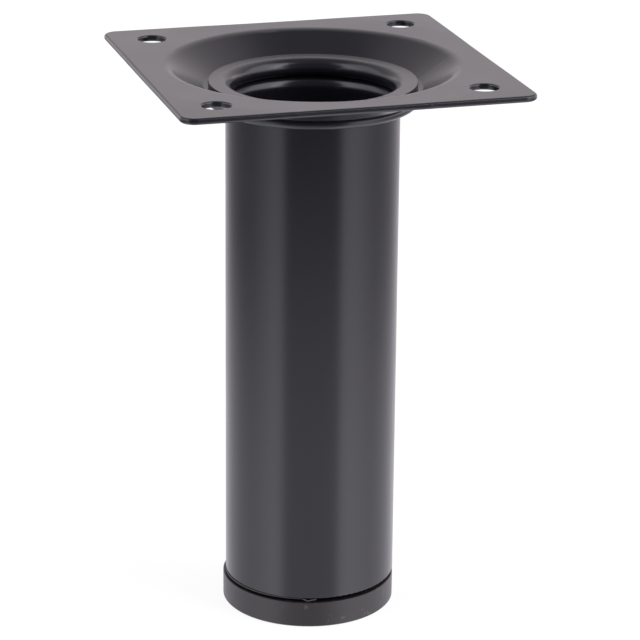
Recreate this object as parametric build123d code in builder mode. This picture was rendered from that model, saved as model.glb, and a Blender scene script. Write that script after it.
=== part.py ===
"""Round furniture leg: pressed fixing plate, flared steel tube and a screw-in levelling foot.

Millimetres. +Z is up, the origin is the middle of the foot's sole and the plate's sides run along X and Y.
"""

import os
from math import cos, hypot, radians, sin

from build123d import *

# Overall height, from the floor to the top of the plate with the foot screwed fully in
leg_height = 99.1

# Steel tube, measured over its coat
tube_diameter = 30.2
tube_wall = 1.1
tube_end_round = 0.2

# Flared lip at the top of the tube, which clamps the dish floor from above
lip_reach = 2.95
lip_edge_round = 0.12
lip_under_round = 0.8

# Folded bead round the tube, which clamps the dish floor from below
bead_reach = 3.2
bead_height = 1.85
bead_edge_share = 0.49
bead_root_round = 0.5
fold_slit = 0.2
fold_depth = 2.4
fold_upper_round = 0.9
fold_lower_round = 2.0

# Pressed steel plate
plate_side = 60.8
plate_thickness = 1.1
plate_corner_radius = 2.5
plate_edge_share = 0.43
hole_diameter = 4.8
hole_margin = 7.4
hole_edge_round = 0.35

# Round dish pressed into the plate, with a shallow dip around it
dish_depth = 4.15
dish_wall_run = 6.2
dish_floor_gap = 0.75
dish_shoulder_round = 2.6
dish_floor_round = 0.8
dip_depth = 0.13
dip_run = 7.5
dip_round = 60.0
plate_hole_clearance = 0.1

# Plastic insert in the lower end of the tube
insert_boss_height = 0.42
insert_boss_inset = 2.5
insert_boss_round = 0.2
plug_length = 18.0
plug_clearance = 0.3
plug_side_gap = 0.06
plug_direction = 164.0
plug_core_inset = 2.2
fin_count = 5
fin_thickness = 1.2
plug_lead_in = 1.0

# Levelling foot and its stud
foot_height = 4.68
foot_overhang = 0.23
foot_top_round = 0.15
foot_sole_chamfer = 0.2
foot_gap = 0.25
foot_travel = 10.0
thread_diameter = 8.0
thread_clearance = 0.05
thread_engagement = 8.0
stud_tip_chamfer = 1.0
stud_head_width = 12.0
stud_head_height = 1.8
stud_head_cover = 1.5
moulded_gap = 0.02

# Radii and heights that follow from the sizes above
tube_radius = tube_diameter / 2
bore_radius = tube_radius - tube_wall
lip_radius = tube_radius + lip_reach
lip_roll = lip_under_round + tube_wall
bead_radius = tube_radius + bead_reach
bead_edge_round = bead_height * bead_edge_share
boss_radius = tube_radius - insert_boss_inset
foot_radius = tube_radius + foot_overhang
thread_radius = thread_diameter / 2
plate_hole_radius = tube_radius + plate_hole_clearance
plate_edge_round = plate_thickness * plate_edge_share
plate_hole_round = lip_under_round + plate_hole_clearance

dish_floor_radius = lip_radius + dish_floor_gap
dish_rim_radius = dish_floor_radius + dish_wall_run
dip_radius = dish_rim_radius + dip_run
hole_spacing = plate_side - 2 * hole_margin
blank_radius = hypot(plate_side, plate_side) / 2 + plate_thickness

plate_top = leg_height
dish_floor_top = plate_top - dish_depth
bead_top = dish_floor_top - plate_thickness
bead_bottom = bead_top - bead_height
lip_under = dish_floor_top
lip_top = lip_under + tube_wall
fold_top = bead_bottom + bead_height / 2 + fold_slit / 2
fold_bottom = fold_top - fold_slit
fold_radius = bore_radius + fold_depth

boss_bottom = foot_height + foot_gap
tube_bottom = boss_bottom + insert_boss_height
plug_radius = bore_radius - plug_clearance
plug_core_radius = plug_radius - plug_core_inset
plug_top = tube_bottom + plug_length
fin_pitch = plug_length / (fin_count + 1)
stud_radius = thread_radius - thread_clearance
stud_head_top = stud_head_cover + stud_head_height
stud_top = boss_bottom + foot_travel + thread_engagement

# The plug sits against one side of the bore, and the foot follows it
plug_shift = plug_clearance - plug_side_gap
plug_x = plug_shift * cos(radians(plug_direction))
plug_y = plug_shift * sin(radians(plug_direction))
plug_plane = Plane((plug_x, plug_y, 0))

os.makedirs("parts", exist_ok=True)

# Fixing plate: the sheet's top line is thickened downwards, spun round, then trimmed to the square
with BuildPart() as mounting_plate:
    with BuildSketch(Plane.XZ) as sheet_section:
        with BuildLine():
            FilletPolyline(
                (blank_radius, plate_top),
                (dip_radius, plate_top),
                (dish_rim_radius, plate_top - dip_depth),
                (dish_floor_radius, dish_floor_top),
                (plate_hole_radius, dish_floor_top),
                radius=[dip_round, dish_shoulder_round, dish_floor_round],
            )
            offset(amount=plate_thickness, side=Side.LEFT, closed=True)
        make_face()
    revolve(axis=Axis.Z)
    with BuildSketch(Plane.XY.offset(bead_top)) as plate_outline:
        RectangleRounded(plate_side, plate_side, plate_corner_radius)
    extrude(amount=dish_depth + plate_thickness, mode=Mode.INTERSECT)
    fillet(mounting_plate.edges(Select.LAST).filter_by(Axis.Z, reverse=True), plate_edge_round)
    rings = mounting_plate.edges().filter_by(GeomType.CIRCLE)
    hole_rim = rings.filter_by(lambda e: abs(e.radius - plate_hole_radius) < plate_hole_clearance)
    fillet(hole_rim.sort_by(Axis.Z)[-1], plate_hole_round)
    with Locations((0, 0, plate_top)):
        with GridLocations(hole_spacing, hole_spacing, 2, 2):
            Hole(hole_diameter / 2)
    hole_edges = mounting_plate.edges(Select.LAST).filter_by(Axis.Z, reverse=True)
    fillet(hole_edges, hole_edge_round)

mounting_plate.part.label = "mounting_plate"
export_step(mounting_plate.part, "parts/mounting_plate.step")

# Tube: one section with the bead, the lip and the fold inside the bead, spun round
with BuildPart() as leg_tube:
    with BuildSketch(Plane.XZ) as tube_section:
        with BuildLine():
            FilletPolyline(
                (tube_radius, tube_bottom),
                (tube_radius, bead_bottom),
                (bead_radius, bead_bottom),
                (bead_radius, bead_top),
                (tube_radius, bead_top),
                (tube_radius, lip_under),
                (lip_radius, lip_under),
                (lip_radius, lip_top),
                (bore_radius, lip_top),
                (bore_radius, fold_top),
                (fold_radius, fold_top),
                (fold_radius, fold_bottom),
                (bore_radius, fold_bottom),
                (bore_radius, tube_bottom),
                radius=[
                    tube_end_round,
                    bead_root_round,
                    bead_edge_round,
                    bead_edge_round,
                    0,
                    lip_under_round,
                    lip_edge_round,
                    lip_edge_round,
                    lip_roll,
                    fold_upper_round,
                    0,
                    0,
                    fold_lower_round,
                    tube_end_round,
                ],
                close=True,
            )
        make_face()
    revolve(axis=Axis.Z)

leg_tube.part.label = "leg_tube"
export_step(leg_tube.part, "parts/leg_tube.step")

# Insert: a finned plug inside the tube, with a low boss that keeps the foot off the tube's end
with BuildPart() as threaded_insert:
    with BuildSketch(plug_plane.offset(boss_bottom)) as boss_outline:
        Circle(boss_radius)
    extrude(amount=insert_boss_height)
    fillet(threaded_insert.edges(), insert_boss_round)
    with BuildSketch(plug_plane.offset(tube_bottom)) as core_outline:
        Circle(plug_core_radius)
    extrude(amount=plug_length)
    chamfer(threaded_insert.faces().sort_by(Axis.Z)[-1].edges(), plug_lead_in)
    for fin in range(fin_count):
        with BuildSketch(plug_plane.offset(tube_bottom + (fin + 0.5) * fin_pitch)) as fin_outline:
            Circle(plug_radius)
        extrude(amount=fin_thickness)
    with Locations((plug_x, plug_y, plug_top)):
        Hole(thread_radius)

threaded_insert.part.label = "threaded_insert"
export_step(threaded_insert.part, "parts/threaded_insert.step")

# Stud: a hexagonal head that the foot is moulded round, and a round shank
with BuildPart() as foot_stud:
    with BuildSketch(plug_plane.offset(stud_head_cover)) as head_outline:
        RegularPolygon(stud_head_width / 2, 6, major_radius=False)
    extrude(amount=stud_head_height)
    with BuildSketch(plug_plane.offset(stud_head_top)) as shank_outline:
        Circle(stud_radius)
    extrude(amount=stud_top - stud_head_top)
    chamfer(foot_stud.faces().sort_by(Axis.Z)[-1].edges(), stud_tip_chamfer)

foot_stud.part.label = "foot_stud"
export_step(foot_stud.part, "parts/foot_stud.step")

# Foot: a plastic disc with a flat sole, moulded round the head of the stud
with BuildPart() as levelling_foot:
    with BuildSketch(plug_plane) as disc_outline:
        Circle(foot_radius)
    extrude(amount=foot_height)
    fillet(levelling_foot.faces().sort_by(Axis.Z)[-1].edges(), foot_top_round)
    chamfer(levelling_foot.faces().sort_by(Axis.Z)[0].edges(), foot_sole_chamfer)
    with BuildSketch(plug_plane.offset(stud_head_cover - moulded_gap)) as head_pocket:
        RegularPolygon(stud_head_width / 2 + moulded_gap, 6, major_radius=False)
    extrude(amount=stud_head_height + 2 * moulded_gap, mode=Mode.SUBTRACT)
    with BuildSketch(plug_plane.offset(stud_head_top)) as neck_hole:
        Circle(stud_radius + moulded_gap)
    extrude(amount=foot_height, mode=Mode.SUBTRACT)

levelling_foot.part.label = "levelling_foot"
export_step(levelling_foot.part, "parts/levelling_foot.step")
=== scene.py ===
import math

import bmesh
import bpy
from mathutils import Matrix, Vector


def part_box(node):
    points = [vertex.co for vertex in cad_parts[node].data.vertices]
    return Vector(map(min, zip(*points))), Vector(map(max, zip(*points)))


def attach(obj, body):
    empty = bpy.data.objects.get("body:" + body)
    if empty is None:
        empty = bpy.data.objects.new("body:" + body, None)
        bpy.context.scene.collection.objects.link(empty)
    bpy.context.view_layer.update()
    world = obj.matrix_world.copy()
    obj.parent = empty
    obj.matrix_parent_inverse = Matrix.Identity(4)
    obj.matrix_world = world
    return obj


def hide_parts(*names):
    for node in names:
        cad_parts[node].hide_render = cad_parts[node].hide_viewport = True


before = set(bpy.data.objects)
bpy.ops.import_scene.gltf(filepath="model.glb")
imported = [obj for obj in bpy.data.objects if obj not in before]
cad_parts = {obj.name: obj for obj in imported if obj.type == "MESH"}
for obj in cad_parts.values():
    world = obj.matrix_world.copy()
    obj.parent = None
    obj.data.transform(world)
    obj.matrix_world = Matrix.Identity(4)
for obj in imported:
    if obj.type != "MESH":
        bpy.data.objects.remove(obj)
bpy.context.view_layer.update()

bl_info = {
    "name": "Round furniture leg",
    "version": (1, 0, 0),
    "blender": (4, 5, 0),
    "location": "View3D > Sidebar > Furniture leg",
    "description": "Finishes a round steel furniture leg with a screw plate and a levelling foot",
    "category": "Object",
}

MM = 0.001

# Picture and lens
PHOTO_PIXELS = 640
SENSOR_WIDTH = 36.0
CLIP_START = 10 * MM

# Index of refraction of the cured powder and of the polyethylene
FILM_IOR = 1.5
PLASTIC_IOR = 1.5

# Range in which nearly all values of a noise lie, the values between which a scuff sets in, and the
# share of the plastic's own colour that a full scuff hides
NOISE_RANGE = (0.3, 0.7)
SCUFF_RANGE = (0.63, 0.73)
SCUFF_COVER = 0.65

# Share of one thread pitch that the root, each flank and the crest take up
THREAD_ROOT = 1 / 4
THREAD_FLANK = 5 / 16
THREAD_CREST = 1 / 8

# Steps in one turn of the thread, the share of a pitch within which its points are merged, the sides of
# the stud's head, and the angle past which an edge of the stud stays sharp
THREAD_STEPS = 40
THREAD_MERGE = 1 / 100
HEAD_SIDES = 6
SHARP_ANGLE = math.radians(30)

# Steps of the flash's swept fin and of its curl, and how far the fin's root reaches into the insert
FIN_STEPS = 60
CURL_STEPS = 12
FIN_ROOT = 2 * MM

# Studio walls as seen from the leg, in three bands of height: azimuth in degrees, right of the camera
# positive, and radiance. The two softboxes hang in the upper band.
WALLS_BELOW = (
    (-180, 0.18), (-105, 0.18), (-85, 0.38), (-62, 0.95), (-52, 1.25), (-40, 1.25), (-34, 0.10),
    (36, 0.10), (43, 1.38), (58, 1.36), (72, 1.00), (92, 0.45), (115, 0.30), (150, 0.30), (180, 0.18),
)
WALLS_LEVEL = (
    (-180, 0.95), (-172, 0.93), (-160, 0.75), (-150, 1.35), (-100, 1.35), (-80, 0.80), (-74, 0.80),
    (-40, 0.90), (-33, 0.15), (36, 0.15), (43, 1.90), (60, 2.40), (76, 2.00), (90, 1.90), (144, 1.95),
    (154, 0.86), (172, 0.93), (180, 0.95),
)
WALLS_ABOVE = (
    (-180, 0.95), (-172, 0.93), (-155, 0.64), (-120, 0.60), (-110, 1.60), (-80, 1.80), (-66, 2.50),
    (-49, 2.80), (-42, 0.12), (44, 0.12), (51, 4.90), (60, 4.90), (68, 2.80), (108, 2.10), (118, 0.60),
    (150, 0.86), (172, 0.93), (180, 0.95),
)

# Radiance at the top of the walls' scale, and that of the roof
WALL_PEAK = 5.0
ROOF_RADIANCE = 0.25

# Heights between which each band gives way to the next, as the rise of the line of sight, and the slope
# of the lowest of these lines, which lies lower behind the leg than on the camera's side
LEVEL_RISE = (-0.33, 0.02)
ABOVE_RISE = (0.26, 0.38)
ROOF_RISE = (0.79, 0.94)
LEVEL_SLOPE = 0.06

# Tint of the light on the camera's side, and of the walls past this azimuth, behind the leg
COOL_LIGHT = (0.99, 0.97, 1.055)
WARM_LIGHT = (1.03, 0.965, 1.0)
WARM_FROM = 120

# Pool of light on the floor as the leg mirrors it: distance from the leg in mm, and radiance
FLOOR_POOL = (
    (0, 0.91), (45, 0.90), (85, 0.92), (121, 0.86), (159, 0.75), (197, 0.60), (235, 0.42), (274, 0.23),
    (330, 0.07), (360, 0.0),
)
FLOOR_POOL_REACH = 360

# How many times longer the pool is than wide, and where its fading ends behind the leg, in mm
FLOOR_POOL_NARROW = 1.3
FLOOR_SWEEP = 130

# Strength of the light that the camera sees through the floor, its share in what is seen, and the
# number of the disc's sides
FLOOR_GLOW = 1.1
FLOOR_GLOW_SHARE = 0.8
FLOOR_SEGMENTS = 128

WHITE = (1.0, 1.0, 1.0, 1.0)


# Colours and nodes

def linear(hex_colour):
    """A hex sRGB colour as linear red, green, blue and alpha."""
    levels = [int(hex_colour[i:i + 2], 16) / 255 for i in (1, 3, 5)]
    return (*[c / 12.92 if c <= 0.04045 else ((c + 0.055) / 1.055) ** 2.4 for c in levels], 1.0)


def per_metre(size):
    """Texture scale at which one feature of the pattern has the given size."""
    return 1.0 / size


def add_node(tree, kind, settings=None, inputs=None, stops=()):
    """Adds a node with its own properties, its inputs as values or links, and the stops of its ramp."""
    node = tree.nodes.new(kind)
    for name, value in (settings or {}).items():
        setattr(node, name, value)
    for socket, value in (inputs or {}).items():
        if isinstance(value, bpy.types.NodeSocket):
            tree.links.new(value, node.inputs[socket])
        else:
            node.inputs[socket].default_value = value
    if stops:
        elements = node.color_ramp.elements
        while len(elements) < len(stops):
            elements.new(1.0)
        for element, (position, colour) in zip(elements, stops):
            element.position = position
            element.color = (*colour, 1.0)
    return node


def new_material(name):
    """An empty node material and its tree."""
    material = bpy.data.materials.new(name)
    material.use_nodes = True
    material.node_tree.nodes.clear()
    return material, material.node_tree


# Finishes

def powder_coat(coat):
    """Powder coat, sprayed on steel and baked: a satin film with a faint orange peel and a fine grain."""
    material, tree = new_material("satin_black_powder_coat")
    place = add_node(tree, "ShaderNodeTexCoord").outputs["Object"]

    # Slow patches where the film flowed a little better, which shift the gloss and the black slightly
    flow = add_node(tree, "ShaderNodeTexNoise", inputs={
        "Vector": place, "Scale": per_metre(coat.flow_size), "Detail": 3.0, "Roughness": 0.55})
    gloss = add_node(tree, "ShaderNodeMapRange", inputs={
        "Value": flow.outputs["Fac"], "From Min": NOISE_RANGE[0], "From Max": NOISE_RANGE[1],
        "To Min": coat.roughness - coat.roughness_spread, "To Max": coat.roughness + coat.roughness_spread})
    black = add_node(tree, "ShaderNodeMix", {"data_type": "RGBA"}, {
        "Factor": flow.outputs["Fac"], "A": coat.colour, "B": coat.colour_pale})

    # Orange peel of the baked film, and the grain of the powder, drawn coarser than real so that it shows
    peel = add_node(tree, "ShaderNodeTexNoise", inputs={
        "Vector": place, "Scale": per_metre(coat.peel_size), "Detail": 1.0, "Roughness": 0.4})
    grain = add_node(tree, "ShaderNodeTexNoise", inputs={
        "Vector": place, "Scale": per_metre(coat.grain_size), "Detail": 2.0, "Roughness": 0.6})
    waves = add_node(tree, "ShaderNodeBump", inputs={
        "Strength": 1.0, "Distance": coat.peel_height, "Height": peel.outputs["Fac"]})
    skin = add_node(tree, "ShaderNodeBump", inputs={
        "Strength": 1.0, "Distance": coat.grain_height, "Height": grain.outputs["Fac"],
        "Normal": waves.outputs["Normal"]})

    shader = add_node(tree, "ShaderNodeBsdfPrincipled", inputs={
        "Base Color": black.outputs["Result"],
        "Roughness": gloss.outputs["Result"],
        "IOR": FILM_IOR,
        "Normal": skin.outputs["Normal"],
    })
    add_node(tree, "ShaderNodeOutputMaterial", inputs={"Surface": shader.outputs["BSDF"]})
    return material


def moulded_plastic(name, plastic, colour, colour_pale):
    """Polyethylene, injection moulded: a matt eroded skin with flow marks, scuffs and specks of dust."""
    material, tree = new_material(name)
    place = add_node(tree, "ShaderNodeTexCoord").outputs["Object"]

    # Flow marks of the melt, as slow changes of grey
    flow = add_node(tree, "ShaderNodeTexNoise", inputs={
        "Vector": place, "Scale": per_metre(plastic.flow_size), "Detail": 4.0, "Roughness": 0.6})
    grey = add_node(tree, "ShaderNodeMix", {"data_type": "RGBA"}, {
        "Factor": flow.outputs["Fac"], "A": colour, "B": colour_pale})

    # Scuffs, where the skin was rubbed paler
    rub = add_node(tree, "ShaderNodeTexNoise", inputs={
        "Vector": place, "Scale": per_metre(plastic.scuff_size), "Detail": 3.0, "Roughness": 0.6})
    scuff = add_node(tree, "ShaderNodeMapRange", inputs={
        "Value": rub.outputs["Fac"], "From Min": SCUFF_RANGE[0], "From Max": SCUFF_RANGE[1],
        "To Min": 0.0, "To Max": SCUFF_COVER})
    scuffed = add_node(tree, "ShaderNodeMix", {"data_type": "RGBA"}, {
        "Factor": scuff.outputs["Result"], "A": grey.outputs["Result"], "B": plastic.scuff_colour})

    # Specks of dust, one in some of the cells that are cut by the surface
    cells = add_node(tree, "ShaderNodeTexVoronoi", inputs={
        "Vector": place, "Scale": per_metre(plastic.speck_spacing)})
    speck = add_node(tree, "ShaderNodeMapRange", {"interpolation_type": "SMOOTHSTEP"}, {
        "Value": cells.outputs["Distance"],
        "From Min": 0.0, "From Max": plastic.speck_radius / plastic.speck_spacing,
        "To Min": 1.0, "To Max": 0.0})
    dusty = add_node(tree, "ShaderNodeMix", {"data_type": "RGBA"}, {
        "Factor": speck.outputs["Result"], "A": scuffed.outputs["Result"], "B": plastic.dust_colour})

    # Grain left by the spark-eroded mould, drawn coarser than real so that it shows
    grain = add_node(tree, "ShaderNodeTexNoise", inputs={
        "Vector": place, "Scale": per_metre(plastic.grain_size), "Detail": 2.0, "Roughness": 0.65})
    gloss = add_node(tree, "ShaderNodeMapRange", inputs={
        "Value": flow.outputs["Fac"], "From Min": NOISE_RANGE[0], "From Max": NOISE_RANGE[1],
        "To Min": plastic.roughness - plastic.roughness_spread,
        "To Max": plastic.roughness + plastic.roughness_spread})
    skin = add_node(tree, "ShaderNodeBump", inputs={
        "Strength": 1.0, "Distance": plastic.grain_height, "Height": grain.outputs["Fac"]})

    shader = add_node(tree, "ShaderNodeBsdfPrincipled", inputs={
        "Base Color": dusty.outputs["Result"],
        "Roughness": gloss.outputs["Result"],
        "IOR": PLASTIC_IOR,
        "Normal": skin.outputs["Normal"],
    })
    add_node(tree, "ShaderNodeOutputMaterial", inputs={"Surface": shader.outputs["BSDF"]})
    return material


def zinc_plate(stud):
    """Zinc plating on a rolled steel thread: bright blue-white metal with small dull patches."""
    material, tree = new_material("zinc_plated_steel")
    place = add_node(tree, "ShaderNodeTexCoord").outputs["Object"]
    patches = add_node(tree, "ShaderNodeTexNoise", inputs={
        "Vector": place, "Scale": per_metre(stud.patch_size), "Detail": 4.0, "Roughness": 0.6})
    metal = add_node(tree, "ShaderNodeMix", {"data_type": "RGBA"}, {
        "Factor": patches.outputs["Fac"], "A": stud.zinc_dull, "B": stud.zinc_bright})
    gloss = add_node(tree, "ShaderNodeMapRange", inputs={
        "Value": patches.outputs["Fac"], "From Min": NOISE_RANGE[0], "From Max": NOISE_RANGE[1],
        "To Min": stud.roughness_dull, "To Max": stud.roughness_bright})
    shader = add_node(tree, "ShaderNodeBsdfPrincipled", inputs={
        "Base Color": metal.outputs["Result"],
        "Metallic": 1.0,
        "Roughness": gloss.outputs["Result"],
    })
    add_node(tree, "ShaderNodeOutputMaterial", inputs={"Surface": shader.outputs["BSDF"]})
    return material


# Sizes and colours that a user would change

class LegCoat(bpy.types.PropertyGroup):
    """Powder coat of the plate and the tube."""

    colour: bpy.props.FloatVectorProperty(
        name="Black", description="Colour of the film",
        size=4, min=0, max=1, subtype="COLOR", default=linear("#19181d"))
    colour_pale: bpy.props.FloatVectorProperty(
        name="Pale black", description="Colour of the film's paler patches",
        size=4, min=0, max=1, subtype="COLOR", default=linear("#1d1b21"))
    roughness: bpy.props.FloatProperty(
        name="Roughness", description="Mean roughness of the satin film",
        min=0, max=1, subtype="FACTOR", default=0.24)
    roughness_spread: bpy.props.FloatProperty(
        name="Roughness spread", description="How far the roughness strays to both sides",
        min=0, max=1, subtype="FACTOR", default=0.02)
    flow_size: bpy.props.FloatProperty(
        name="Flow size", description="Size of the patches of other gloss",
        unit="LENGTH", default=14 * MM)
    peel_size: bpy.props.FloatProperty(
        name="Orange peel", description="Length of one wave of the orange peel",
        unit="LENGTH", default=2.0 * MM)
    peel_height: bpy.props.FloatProperty(
        name="Peel height", description="Height of the orange peel",
        unit="LENGTH", precision=6, default=0.004 * MM)
    grain_size: bpy.props.FloatProperty(
        name="Grain", description="Size of the powder's grain",
        unit="LENGTH", default=0.35 * MM)
    grain_height: bpy.props.FloatProperty(
        name="Grain height", description="Height of the grain",
        unit="LENGTH", precision=6, default=0.002 * MM)


class LegPlastic(bpy.types.PropertyGroup):
    """Plastic of the insert and the foot."""

    colour: bpy.props.FloatVectorProperty(
        name="Black", description="Colour of the plastic",
        size=4, min=0, max=1, subtype="COLOR", default=linear("#1e1b1b"))
    colour_pale: bpy.props.FloatVectorProperty(
        name="Pale black", description="Colour of the flow marks",
        size=4, min=0, max=1, subtype="COLOR", default=linear("#252121"))
    dust_colour: bpy.props.FloatVectorProperty(
        name="Dust", description="Colour of the specks of dust",
        size=4, min=0, max=1, subtype="COLOR", default=linear("#5e5b5a"))
    scuff_colour: bpy.props.FloatVectorProperty(
        name="Scuffs", description="Colour of the rubbed places",
        size=4, min=0, max=1, subtype="COLOR", default=linear("#565252"))
    scuff_size: bpy.props.FloatProperty(
        name="Scuff size", description="Spacing of the rubbed places",
        unit="LENGTH", default=2.2 * MM)
    roughness: bpy.props.FloatProperty(
        name="Roughness", description="Mean roughness of the matt skin",
        min=0, max=1, subtype="FACTOR", default=0.42)
    roughness_spread: bpy.props.FloatProperty(
        name="Roughness spread", description="How far the roughness strays to both sides",
        min=0, max=1, subtype="FACTOR", default=0.04)
    flow_size: bpy.props.FloatProperty(
        name="Flow size", description="Size of the flow marks",
        unit="LENGTH", default=5 * MM)
    grain_size: bpy.props.FloatProperty(
        name="Grain", description="Size of the moulded grain",
        unit="LENGTH", default=0.3 * MM)
    grain_height: bpy.props.FloatProperty(
        name="Grain height", description="Height of the moulded grain",
        unit="LENGTH", precision=6, default=0.006 * MM)
    speck_spacing: bpy.props.FloatProperty(
        name="Speck spacing", description="Size of the cells that can hold a speck",
        unit="LENGTH", default=1.6 * MM)
    speck_radius: bpy.props.FloatProperty(
        name="Speck radius", description="Size of the largest specks",
        unit="LENGTH", default=0.22 * MM)


class LegFlash(bpy.types.PropertyGroup):
    """Moulding flash that shows between the tube's end and the foot."""

    azimuth: bpy.props.FloatProperty(
        name="Curl azimuth", description="Side where the curl hangs lowest",
        subtype="ANGLE", unit="ROTATION", default=math.radians(-16.0))
    sweep: bpy.props.FloatProperty(
        name="Sweep", description="How far the fin goes round to the left",
        subtype="ANGLE", unit="ROTATION", default=math.radians(150))
    reach: bpy.props.FloatProperty(
        name="Reach", description="Radius of the fin's edge",
        unit="LENGTH", default=14.95 * MM)
    thickness: bpy.props.FloatProperty(
        name="Thickness", description="Of the fin where it is thickest",
        unit="LENGTH", default=0.42 * MM)
    end_thickness: bpy.props.FloatProperty(
        name="End thickness", description="Of the fin at the curl",
        unit="LENGTH", default=0.14 * MM)
    gap: bpy.props.FloatProperty(
        name="Gap", description="Between the tube's end and the fin",
        unit="LENGTH", default=0.02 * MM)
    curl_reach: bpy.props.FloatProperty(
        name="Curl reach", description="Radius of the curl's face",
        unit="LENGTH", default=15.16 * MM)
    curl_width: bpy.props.FloatProperty(
        name="Curl width", description="Along the edge",
        unit="LENGTH", default=2.35 * MM)
    curl_low: bpy.props.FloatProperty(
        name="Curl low point", description="Share of the width that lies left of the lowest point",
        min=0, max=1, subtype="FACTOR", default=0.36)
    curl_droop: bpy.props.FloatProperty(
        name="Curl droop", description="How far it hangs below its ends",
        unit="LENGTH", default=0.36 * MM)
    curl_height: bpy.props.FloatProperty(
        name="Curl height", description="Of the ribbon itself",
        unit="LENGTH", default=0.15 * MM)
    curl_depth: bpy.props.FloatProperty(
        name="Curl depth", description="From the edge inwards",
        unit="LENGTH", default=0.3 * MM)
    # The curl's two colours are painted paler than the plastic: a painted highlight for the light that the
    # curl catches under the tube's end.
    curl_highlight_colour: bpy.props.FloatVectorProperty(
        name="Curl", description="Colour of the curl, whitened where it was torn",
        size=4, min=0, max=1, subtype="COLOR", default=linear("#454345"))
    curl_highlight_colour_pale: bpy.props.FloatVectorProperty(
        name="Pale curl", description="Colour of its palest places",
        size=4, min=0, max=1, subtype="COLOR", default=linear("#5d5a5c"))


class LegStud(bpy.types.PropertyGroup):
    """Threaded stud of the foot."""

    thread_diameter: bpy.props.FloatProperty(
        name="Thread diameter", description="Across the crests",
        unit="LENGTH", default=7.9 * MM)
    thread_pitch: bpy.props.FloatProperty(
        name="Thread pitch", description="Rise of the thread in one turn",
        unit="LENGTH", default=1.25 * MM)
    thread_depth: bpy.props.FloatProperty(
        name="Thread depth", description="From the crests to the roots",
        unit="LENGTH", default=0.68 * MM)
    head_height: bpy.props.FloatProperty(
        name="Head height", description="Of the hexagonal head",
        unit="LENGTH", default=1.8 * MM)
    tip_chamfer: bpy.props.FloatProperty(
        name="Tip chamfer", description="Of the stud's end",
        unit="LENGTH", default=1.0 * MM)
    zinc_bright: bpy.props.FloatVectorProperty(
        name="Zinc", description="Colour of the bright zinc",
        size=4, min=0, max=1, subtype="COLOR", default=linear("#c9ccd0"))
    zinc_dull: bpy.props.FloatVectorProperty(
        name="Dull zinc", description="Colour of the dull patches",
        size=4, min=0, max=1, subtype="COLOR", default=linear("#a4a7aa"))
    roughness_bright: bpy.props.FloatProperty(
        name="Roughness", description="Roughness of the bright zinc",
        min=0, max=1, subtype="FACTOR", default=0.26)
    roughness_dull: bpy.props.FloatProperty(
        name="Dull roughness", description="Roughness of the dull patches",
        min=0, max=1, subtype="FACTOR", default=0.42)
    patch_size: bpy.props.FloatProperty(
        name="Patch size", description="Of the dull patches",
        unit="LENGTH", default=3 * MM)


class LegStage(bpy.types.PropertyGroup):
    """Camera, floor and light."""

    camera_azimuth: bpy.props.FloatProperty(
        name="Camera azimuth", description="Side from which the camera looks",
        subtype="ANGLE", unit="ROTATION", default=math.radians(-16.231))
    camera_distance: bpy.props.FloatProperty(
        name="Camera distance", description="From the leg's axis, along the floor",
        unit="LENGTH", default=497.05 * MM)
    camera_height: bpy.props.FloatProperty(
        name="Camera height", description="Above the floor",
        unit="LENGTH", default=226.45 * MM)
    camera_pitch: bpy.props.FloatProperty(
        name="Camera pitch", description="Downward tilt",
        subtype="ANGLE", unit="ROTATION", default=math.radians(19.304))
    camera_pan: bpy.props.FloatProperty(
        name="Camera pan", description="Turn to the right of the leg's axis",
        subtype="ANGLE", unit="ROTATION", default=math.radians(0.181))
    camera_roll: bpy.props.FloatProperty(
        name="Camera roll", description="Turn about the line of sight",
        subtype="ANGLE", unit="ROTATION", default=math.radians(0.546))
    focal_pixels: bpy.props.FloatProperty(
        name="Focal length", description="In pixels of the square picture", default=2984.54)
    floor_radius: bpy.props.FloatProperty(
        name="Floor radius", description="Of the white disc under the leg",
        unit="LENGTH", default=500 * MM)
    floor_colour: bpy.props.FloatVectorProperty(
        name="Floor", description="Colour of the disc",
        size=4, min=0, max=1, subtype="COLOR", default=linear("#f4f4f4"))


# Pieces

def finish_node(name, material):
    """Gives a solid of the frame its material."""
    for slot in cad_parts[name].material_slots:
        slot.material = material


def new_object(name, shape, materials):
    """Makes an object of a finished bmesh and puts it into the scene."""
    mesh = bpy.data.meshes.new(name)
    shape.to_mesh(mesh)
    shape.free()
    for material in materials:
        mesh.materials.append(material)
    made = bpy.data.objects.new(name, mesh)
    bpy.context.scene.collection.objects.link(made)
    return made


def new_piece(name, shape, materials, body):
    """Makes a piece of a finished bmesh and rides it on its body."""
    piece = new_object(name, shape, materials)
    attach(piece, body)
    return piece


def add_hexagonal_head(shape, stud, low, high):
    """The head that the foot is moulded round, with its corners along X as on the solid."""
    corner_radius = (high.x - low.x) / 2
    middle = Matrix.Translation((0, 0, low.z + stud.head_height / 2))
    bmesh.ops.create_cone(
        shape, cap_ends=True, segments=HEAD_SIDES, radius1=corner_radius, radius2=corner_radius,
        depth=stud.head_height, matrix=middle @ Matrix.Rotation(math.pi / 2, 4, "Z"))


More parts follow.
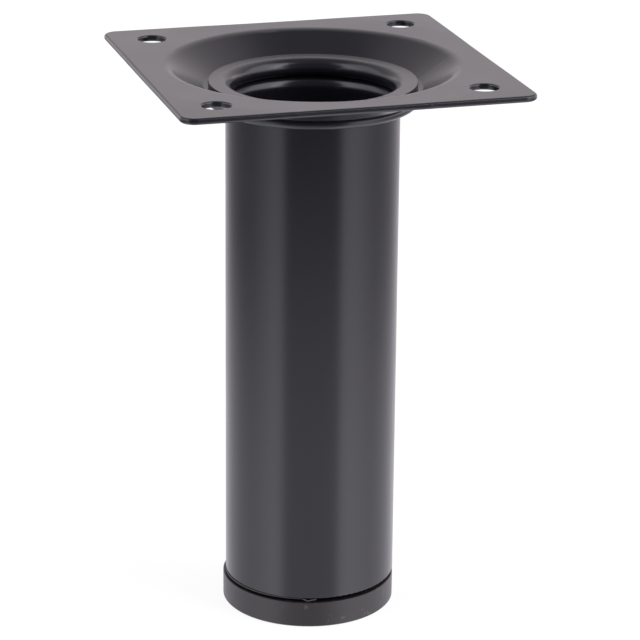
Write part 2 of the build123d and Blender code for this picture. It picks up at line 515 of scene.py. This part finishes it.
def add_threaded_shank(shape, stud, low, high):
    """A thread wound from one pitch of its profile, cut off square at both ends and closed."""
    bottom = low.z + stud.head_height
    pitch = stud.thread_pitch
    crest = stud.thread_diameter / 2
    root = crest - stud.thread_depth
    # The thread starts a little over one pitch below, so that no corner lies on the plane that cuts it off
    start = bottom - pitch * (1 + 1 / (4 * THREAD_STEPS))
    turns = math.ceil((high.z - bottom) / pitch) + 2

    # One pitch of the thread, from root to root, wound round the axis
    steps = (0, THREAD_ROOT, THREAD_FLANK, THREAD_CREST, THREAD_FLANK)
    heights = [start + pitch * sum(steps[:i + 1]) for i in range(len(steps))]
    radii = (root, root, crest, crest, root)
    head = set(shape.verts)
    corners = [shape.verts.new((radius, 0, height)) for radius, height in zip(radii, heights)]
    lines = [shape.edges.new(pair) for pair in zip(corners, corners[1:])]
    bmesh.ops.spin(
        shape, geom=corners + lines, cent=(0, 0, 0), axis=(0, 0, 1), dvec=(0, 0, pitch / THREAD_STEPS),
        angle=math.tau * turns, steps=THREAD_STEPS * turns)
    thread = [v for v in shape.verts if v not in head]
    bmesh.ops.remove_doubles(shape, verts=thread, dist=pitch * THREAD_MERGE)

    # The chamfer of the tip, then the two square ends
    thread = [v for v in shape.verts if v not in head]
    for vert in thread:
        radius = math.hypot(vert.co.x, vert.co.y)
        cone = crest - stud.tip_chamfer + high.z - vert.co.z
        if 0 < cone < radius:
            vert.co.x *= cone / radius
            vert.co.y *= cone / radius
    for level, below in ((bottom, True), (high.z, False)):
        thread = [v for v in shape.verts if v not in head]
        faces = {f for v in thread for f in v.link_faces}
        edges = {e for v in thread for e in v.link_edges}
        cut = bmesh.ops.bisect_plane(
            shape, geom=[*thread, *edges, *faces], plane_co=(0, 0, level), plane_no=(0, 0, 1),
            clear_inner=below, clear_outer=not below)
        rim = [e for e in cut["geom_cut"] if isinstance(e, bmesh.types.BMEdge)]
        bmesh.ops.edgeloop_fill(shape, edges=rim)


def add_flash_fin(shape, flash, top):
    """A flat fin swept round the insert, thin at the curl and thicker towards the left."""
    low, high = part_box("threaded_insert")
    inner = (high.x - low.x) / 2 - FIN_ROOT
    begin = flash.curl_low * flash.curl_width / flash.curl_reach
    bottom = top - flash.thickness
    section = [(inner, bottom), (flash.reach, bottom), (flash.reach, top), (inner, top)]
    turn = Matrix.Rotation(-begin, 3, "Z")
    corners = [shape.verts.new(turn @ Vector((0, -radius, height))) for radius, height in section]
    face = shape.faces.new(corners)
    bmesh.ops.spin(
        shape, geom=[*corners, *face.edges, face], cent=(0, 0, 0), axis=(0, 0, 1),
        angle=-flash.sweep, steps=FIN_STEPS)
    underside = [v for v in shape.verts if v.co.z < top - flash.thickness / 2]
    for vert in underside:
        share = (math.atan2(-vert.co.x, -vert.co.y) - begin) / flash.sweep
        vert.co.z = top - flash.end_thickness - share * (flash.thickness - flash.end_thickness)


def add_flash_curl(shape, flash, top):
    """A ribbon bent to a V, from the fin's end up to the tube's end, in the second material, painted paler
    as a highlight.
    """
    # A grid one unit wide and high, centred on the origin, is bent to the ribbon's face
    made = bmesh.ops.create_grid(shape, x_segments=CURL_STEPS, y_segments=1, size=0.5)
    ribbon = made["verts"]
    for vert in ribbon:
        share = vert.co.x + 0.5
        arm = flash.curl_low if share < flash.curl_low else 1 - flash.curl_low
        lift = abs(share - flash.curl_low) / arm * flash.curl_droop - flash.curl_droop
        along = (share - flash.curl_low) * flash.curl_width
        vert.co = (along, -flash.curl_reach, top + lift + (vert.co.y - 0.5) * flash.curl_height)
    faces = list({f for v in ribbon for f in v.link_faces})
    grown = bmesh.ops.extrude_face_region(shape, geom=faces, use_keep_orig=True)
    back = [v for v in grown["geom"] if isinstance(v, bmesh.types.BMVert)]
    bmesh.ops.translate(shape, verts=back, vec=(0, flash.curl_depth, 0))
    for face in {f for v in (*ribbon, *back) for f in v.link_faces}:
        face.material_index = 1


class LEG_OT_coat(bpy.types.Operator):
    """Gives the plate and the tube their powder coat"""

    bl_idname = "leg.coat"
    bl_label = "Coat the plate and the tube"

    def execute(self, context):
        coat = powder_coat(context.scene.leg_coat)
        finish_node("mounting_plate", coat)
        finish_node("leg_tube", coat)
        return {"FINISHED"}


class LEG_OT_plastic(bpy.types.Operator):
    """Gives the insert and the foot their moulded skin"""

    bl_idname = "leg.plastic"
    bl_label = "Finish the insert and the foot"

    def execute(self, context):
        plastic = context.scene.leg_plastic
        skin = moulded_plastic("matt_black_polyethylene", plastic, plastic.colour, plastic.colour_pale)
        finish_node("threaded_insert", skin)
        finish_node("levelling_foot", skin)
        return {"FINISHED"}


class LEG_OT_flash(bpy.types.Operator):
    """Models the thin fin of flash that shows under the tube's end, and the curl where it ends"""

    bl_idname = "leg.flash"
    bl_label = "Add the moulding flash"

    def execute(self, context):
        flash = context.scene.leg_flash
        low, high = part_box("threaded_insert")
        tube_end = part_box("leg_tube")[0].z
        shape = bmesh.new()
        add_flash_fin(shape, flash, tube_end - flash.gap)
        add_flash_curl(shape, flash, tube_end)
        bmesh.ops.recalc_face_normals(shape, faces=shape.faces)
        middle = (low + high) / 2
        place = Matrix.Translation((middle.x, middle.y, 0)) @ Matrix.Rotation(flash.azimuth, 4, "Z")
        bmesh.ops.transform(shape, matrix=place, verts=shape.verts)
        skin = bpy.data.materials["matt_black_polyethylene"]
        # The curl gets a paler copy of the plastic: a painted highlight for the light that it catches.
        torn = moulded_plastic(
            "curl_painted_highlight_polyethylene", context.scene.leg_plastic, flash.curl_highlight_colour, flash.curl_highlight_colour_pale)
        new_piece("moulding_flash", shape, [skin, torn], "leg")
        return {"FINISHED"}


class LEG_OT_stud(bpy.types.Operator):
    """Models the foot's stud with its thread and its hexagonal head"""

    bl_idname = "leg.stud"
    bl_label = "Add the threaded stud"

    def execute(self, context):
        stud = context.scene.leg_stud
        low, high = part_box("foot_stud")
        shape = bmesh.new()
        add_hexagonal_head(shape, stud, low, high)
        add_threaded_shank(shape, stud, low, high)
        bmesh.ops.recalc_face_normals(shape, faces=shape.faces)
        middle = (low + high) / 2
        bmesh.ops.translate(shape, verts=shape.verts, vec=(middle.x, middle.y, 0))
        piece = new_piece("threaded_stud", shape, [zinc_plate(stud)], "foot")
        piece.data.shade_smooth()
        piece.data.set_sharp_from_angle(angle=SHARP_ANGLE)
        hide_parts("foot_stud")
        return {"FINISHED"}


# Stage

def aim_camera(scene, stage):
    """Camera where the photograph was taken from."""
    data = bpy.data.cameras.new("camera")
    data.sensor_width = SENSOR_WIDTH
    data.lens = stage.focal_pixels * SENSOR_WIDTH / PHOTO_PIXELS
    data.clip_start = CLIP_START
    camera = bpy.data.objects.new("camera", data)
    scene.collection.objects.link(camera)
    side = Matrix.Rotation(stage.camera_azimuth, 4, "Z")
    place = side @ Vector((0, -stage.camera_distance, stage.camera_height))
    turn = (Matrix.Rotation(stage.camera_azimuth - stage.camera_pan, 4, "Z")
            @ Matrix.Rotation(math.pi / 2 - stage.camera_pitch, 4, "X")
            @ Matrix.Rotation(stage.camera_roll, 4, "Z"))
    camera.matrix_world = Matrix.Translation(place) @ turn
    scene.camera = camera


def white_floor(stage):
    """White sheet lit from below, with a faint shadow for the camera and a pool of light in reflections."""
    material, tree = new_material("white_floor")
    paint = add_node(tree, "ShaderNodeBsdfDiffuse", inputs={"Color": stage.floor_colour})
    glow = add_node(tree, "ShaderNodeEmission", inputs={"Color": WHITE, "Strength": FLOOR_GLOW})
    seen = add_node(tree, "ShaderNodeMixShader", inputs={
        "Fac": FLOOR_GLOW_SHARE, 1: paint.outputs[0], 2: glow.outputs[0]})

    # The pool of light is longer towards the camera than across, and behind the leg it fades less
    place = add_node(tree, "ShaderNodeTexCoord").outputs["Object"]
    pool_place = add_node(tree, "ShaderNodeMapping", {"vector_type": "TEXTURE"}, {
        "Vector": place, "Rotation": (0, 0, stage.camera_azimuth),
        "Scale": (FLOOR_POOL_REACH * MM / FLOOR_POOL_NARROW, FLOOR_POOL_REACH * MM, 1.0)})
    sweep = add_node(tree, "ShaderNodeVectorMath", {"operation": "MINIMUM"}, {
        0: pool_place.outputs[0], 1: (1.0, FLOOR_SWEEP / FLOOR_POOL_REACH, 1.0)})
    reach = add_node(tree, "ShaderNodeVectorMath", {"operation": "LENGTH"}, {0: sweep.outputs[0]})
    stops = [
        (distance / FLOOR_POOL_REACH, [radiance * c for c in COOL_LIGHT])
        for distance, radiance in FLOOR_POOL]
    fade = add_node(tree, "ShaderNodeValToRGB", inputs={"Fac": reach.outputs["Value"]}, stops=stops)
    pool = add_node(tree, "ShaderNodeEmission", inputs={"Color": fade.outputs["Color"], "Strength": 1.0})
    clear = add_node(tree, "ShaderNodeBsdfTransparent")
    mirrored = add_node(tree, "ShaderNodeAddShader", inputs={0: pool.outputs[0], 1: clear.outputs[0]})

    path = add_node(tree, "ShaderNodeLightPath")
    from_gloss = add_node(tree, "ShaderNodeMath", {"operation": "MAXIMUM"}, {
        0: path.outputs["Is Glossy Ray"], 1: path.outputs["Is Transmission Ray"]})
    plain = add_node(tree, "ShaderNodeMixShader", inputs={
        "Fac": path.outputs["Is Camera Ray"], 1: paint.outputs[0], 2: seen.outputs[0]})
    surface = add_node(tree, "ShaderNodeMixShader", inputs={
        "Fac": from_gloss.outputs[0], 1: plain.outputs[0], 2: mirrored.outputs[0]})
    add_node(tree, "ShaderNodeOutputMaterial", inputs={"Surface": surface.outputs[0]})
    return material


def lay_floor(stage):
    """Round white floor, which stays under the sole when the foot is screwed out."""
    shape = bmesh.new()
    bmesh.ops.create_circle(shape, cap_ends=True, radius=stage.floor_radius, segments=FLOOR_SEGMENTS)
    floor = new_object("floor", shape, [white_floor(stage)])
    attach(floor, "foot")


def wall_stops(levels):
    """Ramp stops round the horizon, from azimuths in degrees and radiances."""
    stops = []
    for azimuth, radiance in levels:
        tint = WARM_LIGHT if abs(azimuth) > WARM_FROM else COOL_LIGHT
        stops.append((azimuth / 360 + 0.5, [radiance / WALL_PEAK * c for c in tint]))
    return stops


def studio_world(scene, stage):
    """Studio with a high softbox on each side, a dark camera side, pale walls and a dim roof."""
    world = bpy.data.worlds.new("studio")
    world.use_nodes = True
    scene.world = world
    tree = world.node_tree
    tree.nodes.clear()

    # Azimuth of the line of sight, from the side that the camera is on
    direction = add_node(tree, "ShaderNodeTexCoord").outputs["Generated"]
    side = Matrix.Rotation(stage.camera_azimuth, 3, "Z")
    ahead = add_node(tree, "ShaderNodeVectorMath", {"operation": "DOT_PRODUCT"}, {
        0: direction, 1: side @ Vector((0, -1, 0))})
    aside = add_node(tree, "ShaderNodeVectorMath", {"operation": "DOT_PRODUCT"}, {
        0: direction, 1: side @ Vector((1, 0, 0))})
    azimuth = add_node(tree, "ShaderNodeMath", {"operation": "ARCTAN2"}, {
        0: aside.outputs["Value"], 1: ahead.outputs["Value"]})
    turn = add_node(tree, "ShaderNodeMapRange", inputs={
        "Value": azimuth.outputs[0], "From Min": -math.pi, "From Max": math.pi})

    # Its rise, and how far it has passed from each band into the next
    height = add_node(tree, "ShaderNodeSeparateXYZ", inputs={0: direction}).outputs["Z"]
    sloped = add_node(tree, "ShaderNodeVectorMath", {"operation": "DOT_PRODUCT"}, {
        0: direction, 1: side @ Vector((0, LEVEL_SLOPE, 1))}).outputs["Value"]
    to_level, to_above, to_roof = [
        add_node(tree, "ShaderNodeMapRange", {"interpolation_type": "SMOOTHSTEP"}, {
            "Value": rise, "From Min": start, "From Max": end}).outputs["Result"]
        for rise, (start, end) in ((sloped, LEVEL_RISE), (height, ABOVE_RISE), (height, ROOF_RISE))]

    # The three bands of the walls and the roof, one over the other
    below, level, above = [
        add_node(tree, "ShaderNodeValToRGB", inputs={"Fac": turn.outputs["Result"]},
                 stops=wall_stops(levels)).outputs["Color"]
        for levels in (WALLS_BELOW, WALLS_LEVEL, WALLS_ABOVE)]
    roof_share = ROOF_RADIANCE / WALL_PEAK
    roof = (roof_share, roof_share, roof_share, 1.0)
    room = below
    for share, band in ((to_level, level), (to_above, above), (to_roof, roof)):
        room = add_node(tree, "ShaderNodeMix", {"data_type": "RGBA"}, {
            "Factor": share, "A": room, "B": band}).outputs["Result"]

    # The camera sees plain white instead
    studio = add_node(tree, "ShaderNodeBackground", inputs={"Color": room, "Strength": WALL_PEAK})
    white = add_node(tree, "ShaderNodeBackground", inputs={"Color": WHITE, "Strength": 1.0})
    path = add_node(tree, "ShaderNodeLightPath")
    mix = add_node(tree, "ShaderNodeMixShader", inputs={
        "Fac": path.outputs["Is Camera Ray"], 1: studio.outputs[0], 2: white.outputs[0]})
    add_node(tree, "ShaderNodeOutputWorld", inputs={"Surface": mix.outputs[0]})


class LEG_OT_stage(bpy.types.Operator):
    """Makes the floor, the light and the camera"""

    bl_idname = "leg.stage"
    bl_label = "Set the stage"

    def execute(self, context):
        scene = context.scene
        scene.view_settings.view_transform = "Standard"
        aim_camera(scene, scene.leg_stage)
        lay_floor(scene.leg_stage)
        studio_world(scene, scene.leg_stage)
        return {"FINISHED"}


# Each operator, with the settings that it uses and their name in the scene
STEPS = (
    ("leg_coat", LegCoat, LEG_OT_coat),
    ("leg_plastic", LegPlastic, LEG_OT_plastic),
    ("leg_flash", LegFlash, LEG_OT_flash),
    ("leg_stud", LegStud, LEG_OT_stud),
    ("leg_stage", LegStage, LEG_OT_stage),
)


class LEG_PT_sidebar(bpy.types.Panel):
    """Lists the steps that finish the leg, each under its settings"""

    bl_idname = "LEG_PT_sidebar"
    bl_label = "Furniture leg"
    bl_space_type = "VIEW_3D"
    bl_region_type = "UI"
    bl_category = "Furniture leg"

    def draw(self, context):
        for name, group, operator in STEPS:
            box = self.layout.box()
            for setting in group.__annotations__:
                box.prop(getattr(context.scene, name), setting)
            box.operator(operator.bl_idname)


def register():
    """Registers the settings, the operators and the panel."""
    for name, group, operator in STEPS:
        bpy.utils.register_class(group)
        setattr(bpy.types.Scene, name, bpy.props.PointerProperty(type=group))
        bpy.utils.register_class(operator)
    bpy.utils.register_class(LEG_PT_sidebar)


def unregister():
    """Takes back what register did, in reverse order."""
    bpy.utils.unregister_class(LEG_PT_sidebar)
    for name, group, operator in reversed(STEPS):
        bpy.utils.unregister_class(operator)
        delattr(bpy.types.Scene, name)
        bpy.utils.unregister_class(group)


def main():
    """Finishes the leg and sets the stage."""
    register()
    bpy.ops.leg.coat()
    bpy.ops.leg.plastic()
    bpy.ops.leg.flash()
    bpy.ops.leg.stud()
    bpy.ops.leg.stage()


if __name__ == "__main__":
    main()
